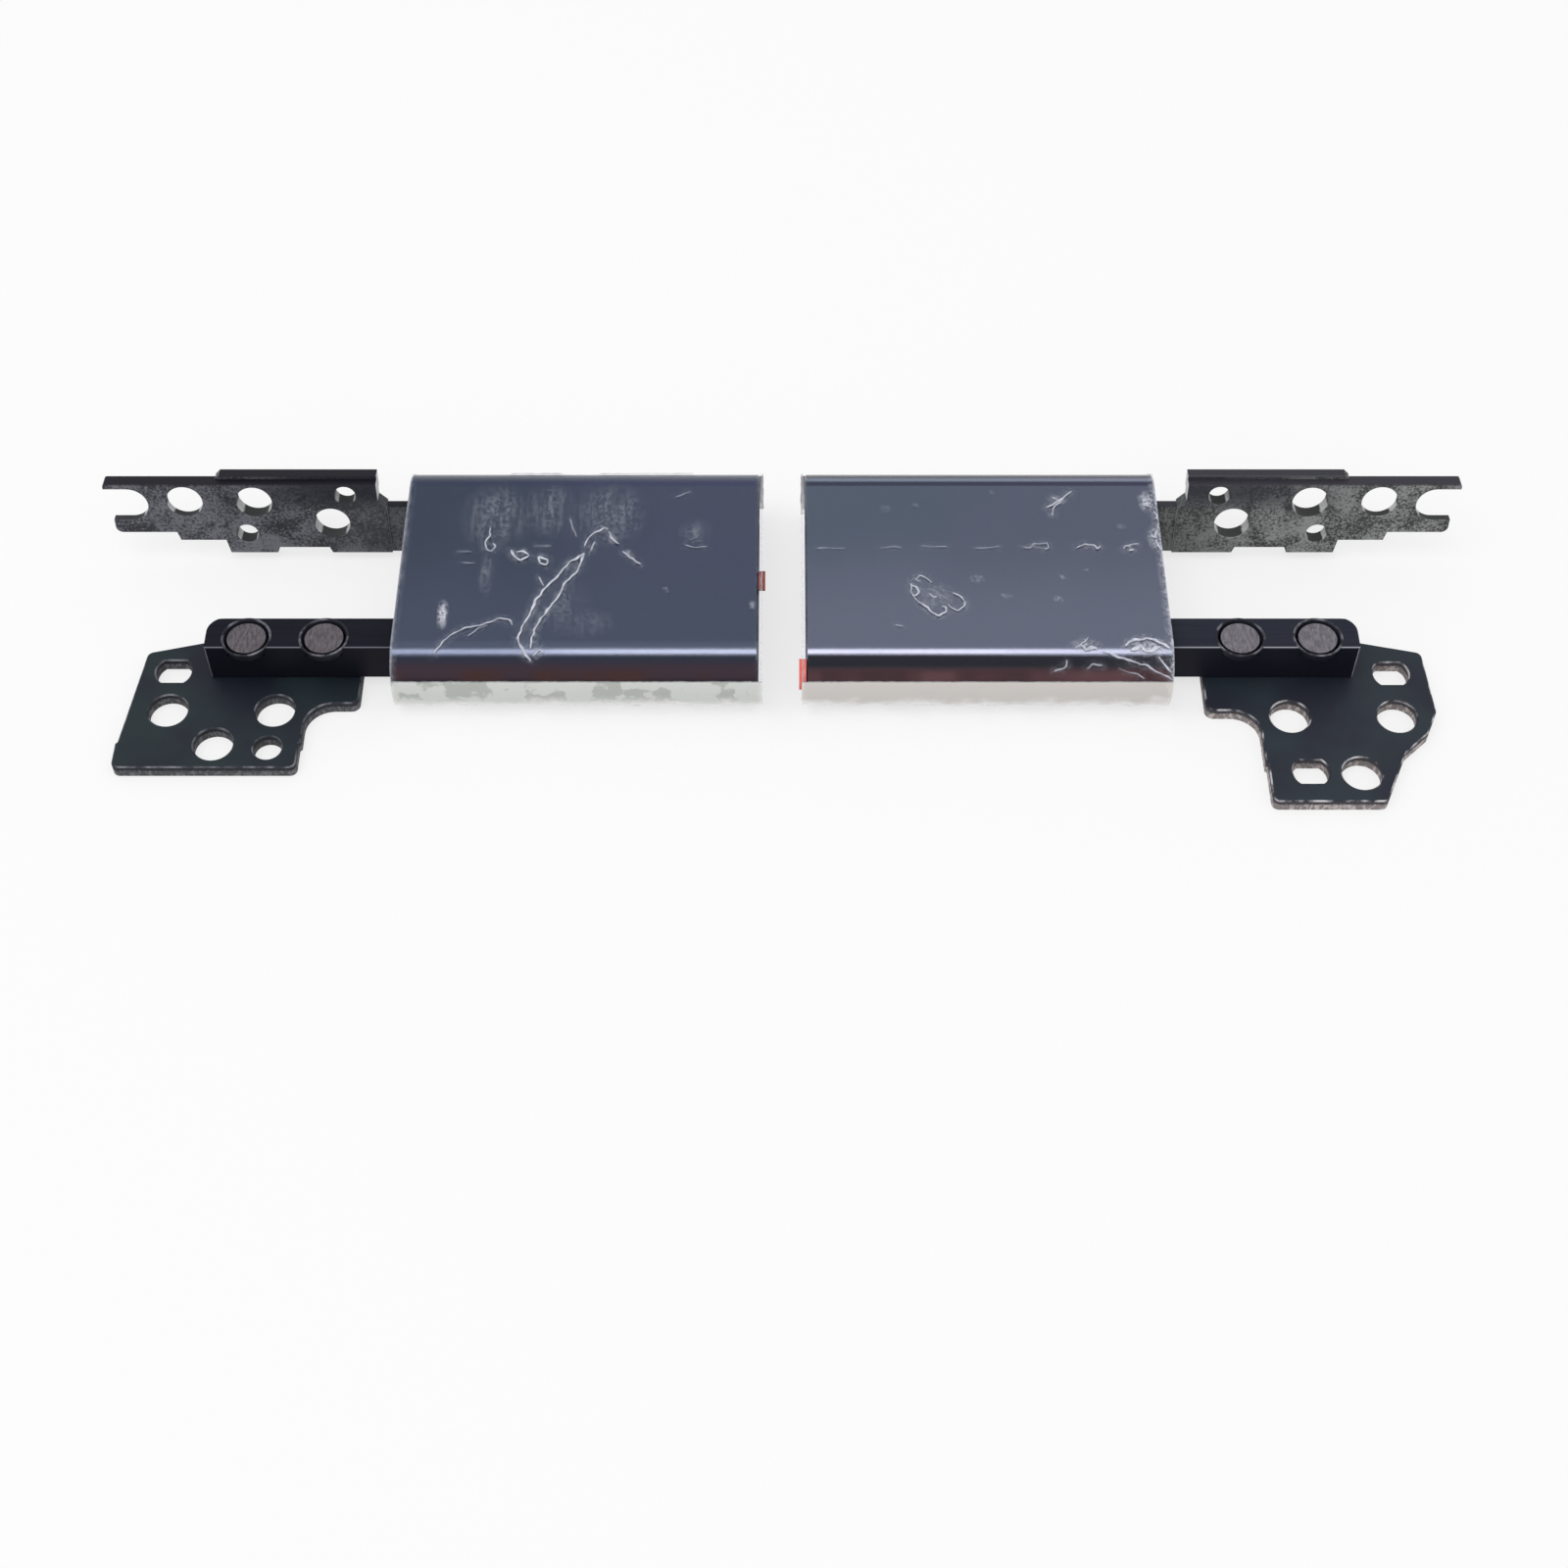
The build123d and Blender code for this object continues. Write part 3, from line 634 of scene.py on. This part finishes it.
RIGHT_CREASES = (
    (0.06, 0.6, ((9.2, 2.2), (9.2, 3.0), (9.5, 3.4), (9.7, 3.0), (9.6, 2.5), (9.2, 2.3))),
    (0.05, 0.5, ((10.7, 2.1), (10.4, 1.7), (9.9, 1.4), (9.6, 1.8), (9.8, 2.0), (10.0, 2.0))),
    (0.06, 0.6, ((9.7, 3.9), (10.3, 4.5), (10.7, 5.0), (11.1, 5.3), (11.6, 4.9), (11.7, 4.4),
                 (11.4, 4.4))),
    (0.05, 0.55, ((11.8, 4.2), (12.1, 4.6), (12.5, 4.7), (12.9, 4.4), (13.0, 3.9), (12.8, 3.5),
                  (12.2, 3.1))),
    (0.06, 0.5, ((10.5, 3.1), (10.8, 3.5), (11.0, 3.5))),
    (0.04, 0.4, ((9.3, 3.3), (9.5, 3.7), (9.8, 4.1))),
    (0.03, 0.25, ((2.5, -1.2), (3.5, -1.2), (4.5, -1.2))),
    (0.03, 0.25, ((7.1, -1.2), (7.9, -1.3), (8.6, -1.3))),
    (0.03, 0.25, ((10.1, -1.4), (11.1, -1.3), (12.0, -1.4))),
    (0.03, 0.25, ((14.0, -1.2), (14.9, -1.2), (15.7, -1.3))),
    (0.04, 0.35, ((17.4, -1.3), (17.9, -1.2), (18.2, -1.6), (19.2, -1.7), (19.3, -1.1))),
    (0.08, 0.55, ((19.0, -1.1), (19.2, -1.2))),
    (0.05, 0.5, ((21.3, -1.2), (22.0, -1.6), (22.3, -1.5), (22.6, -1.4), (22.8, -1.1),
                 (23.1, -1.4))),
    (0.05, 0.5, ((24.7, -1.1), (24.9, -1.5), (25.1, -1.4), (25.5, -1.6), (25.8, -1.6))),
    (0.09, 0.8, ((25.1, -1.0), (25.4, -1.1))),
    (0.06, 0.6, ((19.4, -5.2), (20.0, -5.7), (20.6, -6.2), (21.3, -6.8))),
    (0.045, 0.5, ((19.9, -6.3), (20.2, -6.0), (20.1, -5.6), (19.8, -5.0), (19.7, -4.4))),
    (0.05, 0.5, ((20.8, -6.3), (20.4, -5.7), (20.0, -5.4))),
    (0.06, 0.65, ((26.6, -6.4), (26.8, -5.8), (26.6, -5.5), (26.9, -5.3))),
    (0.05, 0.7, ((27.2, -4.8), (27.3, -4.4), (27.4, -4.0))),
    (0.06, 0.7, ((26.8, -2.4), (27.1, -2.2), (27.3, -2.9))),
    (0.06, 0.8, ((27.1, -2.0), (27.3, -1.5), (27.4, -1.1))),
    (0.1, 0.9, ((24.1, 8.0), (24.4, 7.7), (24.8, 7.5), (25.2, 7.5), (25.6, 7.3), (26.3, 7.6),
                (27.2, 8.1))),
    (0.11, 0.95, ((24.5, 8.3), (25.1, 8.0), (25.4, 8.3), (25.9, 8.4), (26.3, 8.1), (26.5, 8.1))),
    (0.05, 0.5, ((20.8, 8.1), (21.3, 7.6), (21.5, 7.3))),
    (0.06, 0.6, ((21.4, 8.3), (21.9, 8.1), (22.1, 8.3))),
    (0.06, 0.55, ((22.5, 8.4), (23.6, 8.8), (24.8, 9.2), (25.9, 9.6), (27.4, 10.4))),
    (0.06, 0.65, ((26.4, 8.8), (26.9, 9.4), (27.4, 9.9))),
    (0.04, 0.4, ((23.6, 9.6), (24.8, 10.0), (25.4, 10.3))),
    (0.06, 0.6, ((20.6, 8.1), (21.0, 7.9), (21.3, 8.3), (21.7, 8.0), (22.1, 8.2))),
    (0.04, 0.45, ((21.2, 7.4), (21.4, 7.6))),
    (0.05, 0.55, ((19.1, 9.8), (19.6, 9.7), (19.9, 9.4), (20.0, 9.1))),
    (0.045, 0.5, ((21.4, 9.6), (21.9, 9.3), (22.5, 9.4))),
    (0.04, 0.4, ((8.0, 6.1), (8.5, 6.2))),
)

# Soft patches of the films: middle, half sizes along x and along the film, and how milky they are
LEFT_PATCHES = (
    (-24.05, 5.1, 0.45, 1.6, 0.95), (-6.27, -2.79, 1.5, 1.5, 0.1), (-17.4, -5.9, 0.8, 0.85, 0.12),
    (-12.9, -3.1, 0.45, 0.4, 0.6), (-12.25, -2.1, 0.4, 0.6, 0.5), (-11.2, -0.7, 0.45, 0.45, 0.6),
    (-20.8, -4.4, 3.2, 3.8, 0.12), (-17.0, -5.0, 2.4, 3.2, 0.11), (-12.6, -4.6, 3.2, 3.8, 0.12),
    (-21.2, 1.2, 0.8, 2.6, 0.1), (-15.6, 4.0, 2.4, 3.2, 0.06), (-8.3, 2.75, 0.2, 0.25, 0.4),
    (-2.1, 4.2, 0.3, 0.45, 0.4), (-14.2, 5.8, 3.0, 1.8, 0.06))
RIGHT_PATCHES = (
    (20.2, -6.0, 0.9, 0.55, 0.5), (26.75, -5.8, 0.7, 1.3, 0.8), (27.1, -2.2, 0.7, 1.6, 0.7),
    (10.9, 3.4, 1.9, 1.6, 0.16), (25.7, 8.1, 1.9, 0.8, 0.75), (21.3, 7.9, 1.4, 0.6, 0.45),
    (18.4, -1.35, 0.8, 0.3, 0.25), (22.1, -1.35, 0.8, 0.3, 0.25), (25.2, -1.3, 0.6, 0.35, 0.3),
    (9.77, -5.52, 0.2, 0.2, 0.3), (15.5, -6.75, 0.2, 0.2, 0.35), (24.7, -3.37, 0.3, 0.3, 0.35),
    (19.68, 3.63, 0.45, 0.35, 0.3), (14.0, 1.72, 0.7, 0.5, 0.2), (7.6, -5.1, 0.5, 0.4, 0.15),
    (16.0, 3.35, 0.6, 0.25, 0.18), (20.1, 1.58, 0.25, 0.25, 0.3), (21.83, 0.83, 0.2, 0.2, 0.25))


def skirt_reach():
    """Distance along the film from the middle of the top to where its skirts end."""
    return FLAT_HALF + FILM_MIDDLE * (math.pi / 2 + math.asin((COVER_ROUND - SKIRT_LOW) / FILM_MIDDLE))


def ripple(x, along, seed):
    """Slow noise from -1 to 1."""
    return noise.noise(Vector((x, along, seed)))


def wrap(flat):
    """A point of the flat film, x and distance and height, laid on the cover."""
    x, along, height = flat
    past = abs(along) - FLAT_HALF
    radius = FILM_MIDDLE + height
    if past <= 0:
        return Vector((x, COVER_MIDDLE - along, COVER_ROUND + radius))
    turn = past / FILM_MIDDLE
    reach = FLAT_HALF + radius * math.sin(turn)
    return Vector((x, COVER_MIDDLE - math.copysign(reach, along), COVER_ROUND + radius * math.cos(turn)))


def wandering(points):
    """The points of a crease with more between them, each a little off the line."""
    line = [points[0]]
    for start, end in zip(points, points[1:]):
        steps = max(1, round(math.dist(start, end) / CREASE_STEP))
        for i in range(1, steps + 1):
            x, along = (first + (last - first) * i / steps for first, last in zip(start, end))
            aside = CREASE_WANDER * ripple(2.6 * x, 2.6 * along, 1.7)
            ahead = CREASE_WANDER * ripple(2.6 * x, 2.6 * along, 5.9)
            line.append((x + aside, along + ahead))
    return line


def crease_line(half_width, white, points):
    """Raised crease of the flat film, a smooth tapered tube pressed flat."""
    points = wandering(points)
    curve = bpy.data.curves.new("crease", "CURVE")
    curve.dimensions = "3D"
    curve.bevel_depth = CREASE_SPREAD * half_width * MM
    curve.bevel_resolution = 1
    curve.resolution_u = 2
    curve.use_fill_caps = True
    spline = curve.splines.new("NURBS")
    last = len(points) - 1
    spline.points.add(last)
    for i, (point, (x, along)) in enumerate(zip(spline.points, points)):
        point.co = (x * MM, along * MM, 0, 1)
        point.radius = 0.5 if i in (0, last) else 0.85 + 0.8 * ripple(2 * x, 2 * along, 3.1)
    spline.order_u = 3
    spline.use_endpoint_u = True
    line = bpy.data.objects.new("crease", curve)
    bpy.context.collection.objects.link(line)
    pick(line)
    bpy.ops.object.convert(target="MESH")
    line = bpy.context.view_layer.objects.active
    for vertex in line.data.vertices:
        vertex.co.z = (FILM_T / 2 + CREASE_PROUD) * MM + CREASE_FLATNESS * vertex.co.z
    for name, value in (("haze", 0.0), ("crease", min(1.0, CREASE_WHITE_AND_HIGHLIGHT * white))):
        marks = line.data.attributes.new(name, "FLOAT", "POINT")
        marks.data.foreach_set("value", [value] * len(line.data.vertices))
    return line


def crease_places(creases):
    """Places along the creases, to find how near a point of the film is to one, and how white each is."""
    places, whites = [], []
    for _, white, points in creases:
        for start, end in zip(points, points[1:]):
            start, end = Vector((*start, 0)), Vector((*end, 0))
            steps = max(1, round((end - start).length / (CREASE_STEP / 2)))
            places += [start.lerp(end, i / steps) for i in range(steps)]
            whites += [white] * steps
    near = kdtree.KDTree(len(places))
    for i, place in enumerate(places):
        near.insert(place, i)
    near.balance()
    return near, whites


def patch_milk(x, along, patches):
    """How milky the film's soft patches are at a place."""
    most = 0.0
    for middle_x, middle_along, half_x, half_along, milk in patches:
        far = math.hypot((x - middle_x) / half_x, (along - middle_along) / half_along)
        most = max(most, milk * max(0.0, 1 - far * far) ** 2)
    return most


def film(side, creases, patches, inner_milk, outer_milk):
    """Protective film, cut flat, creased, and wrapped on its cover with loose, ragged skirts."""
    sign = SIDES[side]
    inner = COVER_LOW.x - FILM_OVERHANG
    width = COVER_HIGH.x - inner
    reach = skirt_reach()
    deselect()
    bpy.ops.mesh.primitive_grid_add(
        x_subdivisions=round(width / FILM_CELL), y_subdivisions=round(2 * reach / FILM_CELL), size=1)
    sheet = newest(f"{side}_film_sheet")
    sheet.scale = (width * MM, 2 * reach * MM, 1)
    sheet.location.x = sign * (inner + width / 2) * MM
    settle(sheet)
    haze = sheet.data.attributes.new("haze", "FLOAT", "POINT")
    crease = sheet.data.attributes.new("crease", "FLOAT", "POINT")
    near_crease, whites = crease_places(creases)
    for vertex in sheet.data.vertices:
        x, along, height = vertex.co / MM
        from_inner, from_outer = abs(x) - inner, COVER_HIGH.x - abs(x)
        _, found, gap = near_crease.find((x, along, 0))
        rough = 0.7 + 0.6 * ripple(1.1 * x, 1.1 * along, 6.3)
        glow = rough * GLOW_MILK * whites[found] ** 2 * math.exp(-(gap / GLOW_REACH) ** 2)
        inner_end = rough * inner_milk * max(0.0, 1 - from_inner / INNER_MILK_REACH)
        outer_end = rough * outer_milk * max(0.0, 1 - from_outer / OUTER_MILK_REACH)
        haze.data[vertex.index].value = max(patch_milk(x, along, patches), glow, inner_end, outer_end)
        at_end = min(from_inner, from_outer) < 0.01
        crease.data[vertex.index].value = CUT_EDGE_HIGHLIGHT if at_end else 0.0
        past = abs(along) - FLAT_HALF
        if past > 0:
            tear = 0.1 * ripple(0.5 * x, math.copysign(9.0, along), 1.3) + 0.05 * ripple(2.3 * x, along, 2.9)
            past *= 1 + tear * past / (reach - FLAT_HALF)
            along = math.copysign(FLAT_HALF + past, along)
            loose = max(0.0, past - SKIRT_LOOSE_PAST) / 2
            height += SKIRT_LIFT * loose * (1 + ripple(0.7 * x, math.copysign(4.0, along), 5.1))
        by_end = max(0.0, 1 - from_inner / END_WAVES_REACH)
        x += sign * END_WAVES * by_end * ripple(1.4 * along, 0.0, 8.2 + sign)
        height += FILM_WAVES * ripple(0.8 * x, 0.8 * along, 4.4)
        vertex.co = Vector((x, along, height)) * MM
    apply_modifier(sheet, "SOLIDIFY", thickness=FILM_T * MM, offset=0.0)
    lines = [crease_line(half_width, white, points) for half_width, white, points in creases]
    pick(sheet, *lines)
    bpy.ops.object.join()
    for vertex in sheet.data.vertices:
        vertex.co = wrap(vertex.co / MM) * MM
    pick(sheet)
    bpy.ops.object.mode_set(mode="EDIT")
    bpy.ops.mesh.select_all(action="SELECT")
    bpy.ops.mesh.normals_make_consistent(inside=False)
    bpy.ops.object.mode_set(mode="OBJECT")
    bpy.ops.object.shade_smooth_by_angle(angle=math.radians(50))
    dress(sheet, "covers", "clear_film", "clear_film", f"{side}_protective_film")


def select_faces(piece, wanted):
    """Leave edit mode's selection on the faces whose normal points one way."""
    bpy.ops.object.mode_set(mode="OBJECT")
    for part in (*piece.data.vertices, *piece.data.edges):
        part.select = False
    for face in piece.data.polygons:
        face.select = face.normal.dot(Vector(wanted)) > 0.99
    bpy.ops.object.mode_set(mode="EDIT")


def round_start(name, radius, depth, corners):
    """Round disc about the origin, in edit mode with its faces selectable."""
    deselect()
    bpy.ops.mesh.primitive_cylinder_add(vertices=corners, radius=radius * MM, depth=depth * MM)
    made = newest(name)
    bpy.ops.object.mode_set(mode="EDIT")
    bpy.ops.mesh.select_mode(type="FACE")
    return made


def spread_out(spread):
    """Make the selected face larger or smaller about the axis."""
    bpy.ops.transform.resize(value=(spread, spread, 1), center_override=(0, 0, 0))


def draw_out(travel, spread):
    """Extrude the selected face up or down and spread it."""
    bpy.ops.mesh.extrude_region_move(TRANSFORM_OT_translate={"value": (0, 0, travel * MM)})
    spread_out(spread)


def rounded(piece, edge, place, turn=0.0):
    """Leave edit mode, round the edges and put the piece in its place."""
    bpy.ops.object.mode_set(mode="OBJECT")
    apply_modifier(
        piece, "BEVEL", width=edge * MM, segments=2, limit_method="ANGLE", angle_limit=math.radians(35))
    piece.location = Vector(place) * MM
    piece.rotation_euler.x = turn
    settle(piece)
    pick(piece)
    bpy.ops.object.shade_smooth_by_angle(angle=math.radians(40))


def swaged_rims(side):
    """Rims of metal pushed up round the rivets, bulging past the tail's front."""
    for name, x in zip(("outer", "inner"), RIVET_X):
        rim = round_start(f"{side}_{name}_swaged_rim", RIM_RADIUS, RIM_DEPTH, 64)
        select_faces(rim, (0, 0, 1))
        bpy.ops.mesh.inset(thickness=RIM_WALL * MM)
        draw_out(-RIM_BORE, 0.88)
        select_faces(rim, (0, 0, -1))
        spread_out(0.87)
        draw_out(-RIM_FOOT, 0.7)
        rounded(rim, RIM_EDGE, (SIDES[side] * x, RIVET_Y, TAIL_TOP + RIM_PROUD - RIM_DEPTH / 2))
        dress(rim, f"{side}_base", "black_plate", "swaged_rim")


def on_lid(side, reach, height, proud):
    """Place on a lid bracket's front face, given past the open end and above the shaft."""
    up = Vector((0, math.cos(LID_TURN), math.sin(LID_TURN)))
    out = Vector((0, -math.sin(LID_TURN), math.cos(LID_TURN)))
    along = Vector((SIDES[side] * (COVER_HIGH.x + reach), 0, 0))
    return LID_AXIS + along + height * up + (LID_FRONT + proud) * out


def moulding_marks(side):
    """Rings that the mould's pins leave on a lid bracket, and the stub of its gate."""
    for name, (radius, reach, height) in PIN_RINGS.items():
        ring = round_start(f"{side}_{name}", radius, RING_DEPTH, 40)
        select_faces(ring, (0, 0, 1))
        bpy.ops.mesh.inset(thickness=RING_WALL * MM)
        draw_out(-RING_BORE, 0.97)
        rounded(ring, RING_EDGE, on_lid(side, reach, height, -RING_SUNK), LID_TURN)
        dress(ring, f"{side}_lid", "moulded_metal", "moulded_bracket")
    radius, reach, height = GATE_STUB
    stub = round_start(f"{side}_gate_stub", radius, STUB_DEPTH, 28)
    select_faces(stub, (0, 0, 1))
    draw_out(STUB_STEP, 0.7)
    bpy.ops.mesh.inset(thickness=STUB_WALL * MM)
    draw_out(-STUB_DIMPLE, 0.9)
    rounded(stub, STUB_EDGE, on_lid(side, reach, height, -STUB_SUNK), LID_TURN)
    dress(stub, f"{side}_lid", "moulded_metal", "moulded_bracket")


def clear_sight(tree):
    """1 for rays from the camera, reflections and light through clear pieces."""
    rays = [tree.node("ShaderNodeLightPath", output=name)
            for name in ("Is Camera Ray", "Is Glossy Ray", "Is Transmission Ray")]
    return tree.node("ShaderNodeClamp", sockets={0: rays[0] + rays[1] + rays[2]})


def area_lamp(name, size, energy, place):
    """Soft lamp that looks down."""
    light = bpy.data.lights.new(name, "AREA")
    light.shape = "RECTANGLE"
    light.size, light.size_y = (length * MM for length in size)
    light.energy = energy
    lamp = bpy.data.objects.new(name, light)
    bpy.context.scene.collection.objects.link(lamp)
    lamp.location = Vector(place) * MM
    return lamp


def studio():
    """Floor, soft light and the camera."""
    scene = bpy.context.scene
    scene.view_settings.view_transform = "Standard"

    world = bpy.data.worlds.new("studio")
    scene.world = world
    world.use_nodes = True
    brightness = WORLD_LIGHT + (1 - WORLD_LIGHT) * clear_sight(Socket(world.node_tree))
    background = world.node_tree.nodes["Background"]
    background.inputs["Color"].default_value = (1, 1, 1, 1)
    world.node_tree.links.new(brightness.output, background.inputs["Strength"])

    deselect()
    bpy.ops.mesh.primitive_plane_add(size=FLOOR_SIZE * MM)
    floor = newest("floor")
    material = bpy.data.materials.new("floor")
    material.use_nodes = True
    tree = Socket(material.node_tree)
    paper = tree.node("ShaderNodeBsdfDiffuse", sockets={"Color": (FLOOR_PAPER, FLOOR_PAPER, FLOOR_PAPER, 1)})
    white = tree.node("ShaderNodeEmission", sockets={"Color": (1, 1, 1, 1), "Strength": 1.0})
    share = FLOOR_WHITE * clear_sight(tree)
    mixed = tree.node("ShaderNodeMixShader", sockets={0: share, 1: paper, 2: white})
    surface = material.node_tree.nodes["Material Output"].inputs["Surface"]
    material.node_tree.links.new(mixed.output, surface)
    floor.data.materials.append(material)

    key = area_lamp("key", KEY_SIZE, KEY_POWER, KEY_PLACE)
    key.rotation_euler = key.location.to_track_quat("Z", "Y").to_euler()
    key.visible_glossy = False
    strip_power = STRIP_LIGHT * math.pi * math.prod(length * MM for length in STRIP_SIZE)
    strip = area_lamp("strip", STRIP_SIZE, strip_power, STRIP_PLACE)
    strip.visible_diffuse = False

    lens = bpy.data.cameras.new("camera")
    lens.lens = CAMERA_LENS
    lens.clip_start = CAMERA_NEAR * MM
    camera = bpy.data.objects.new("camera", lens)
    scene.collection.objects.link(camera)
    camera.location = Vector(CAMERA_PLACE) * MM
    camera.rotation_euler.x = math.radians(CAMERA_TILT)
    scene.camera = camera


dress_nodes()
film("left", LEFT_CREASES, LEFT_PATCHES, 0.25, 0.15)
film("right", RIGHT_CREASES, RIGHT_PATCHES, 0.15, 0.7)
for side in SIDES:
    swaged_rims(side)
    moulding_marks(side)
studio()
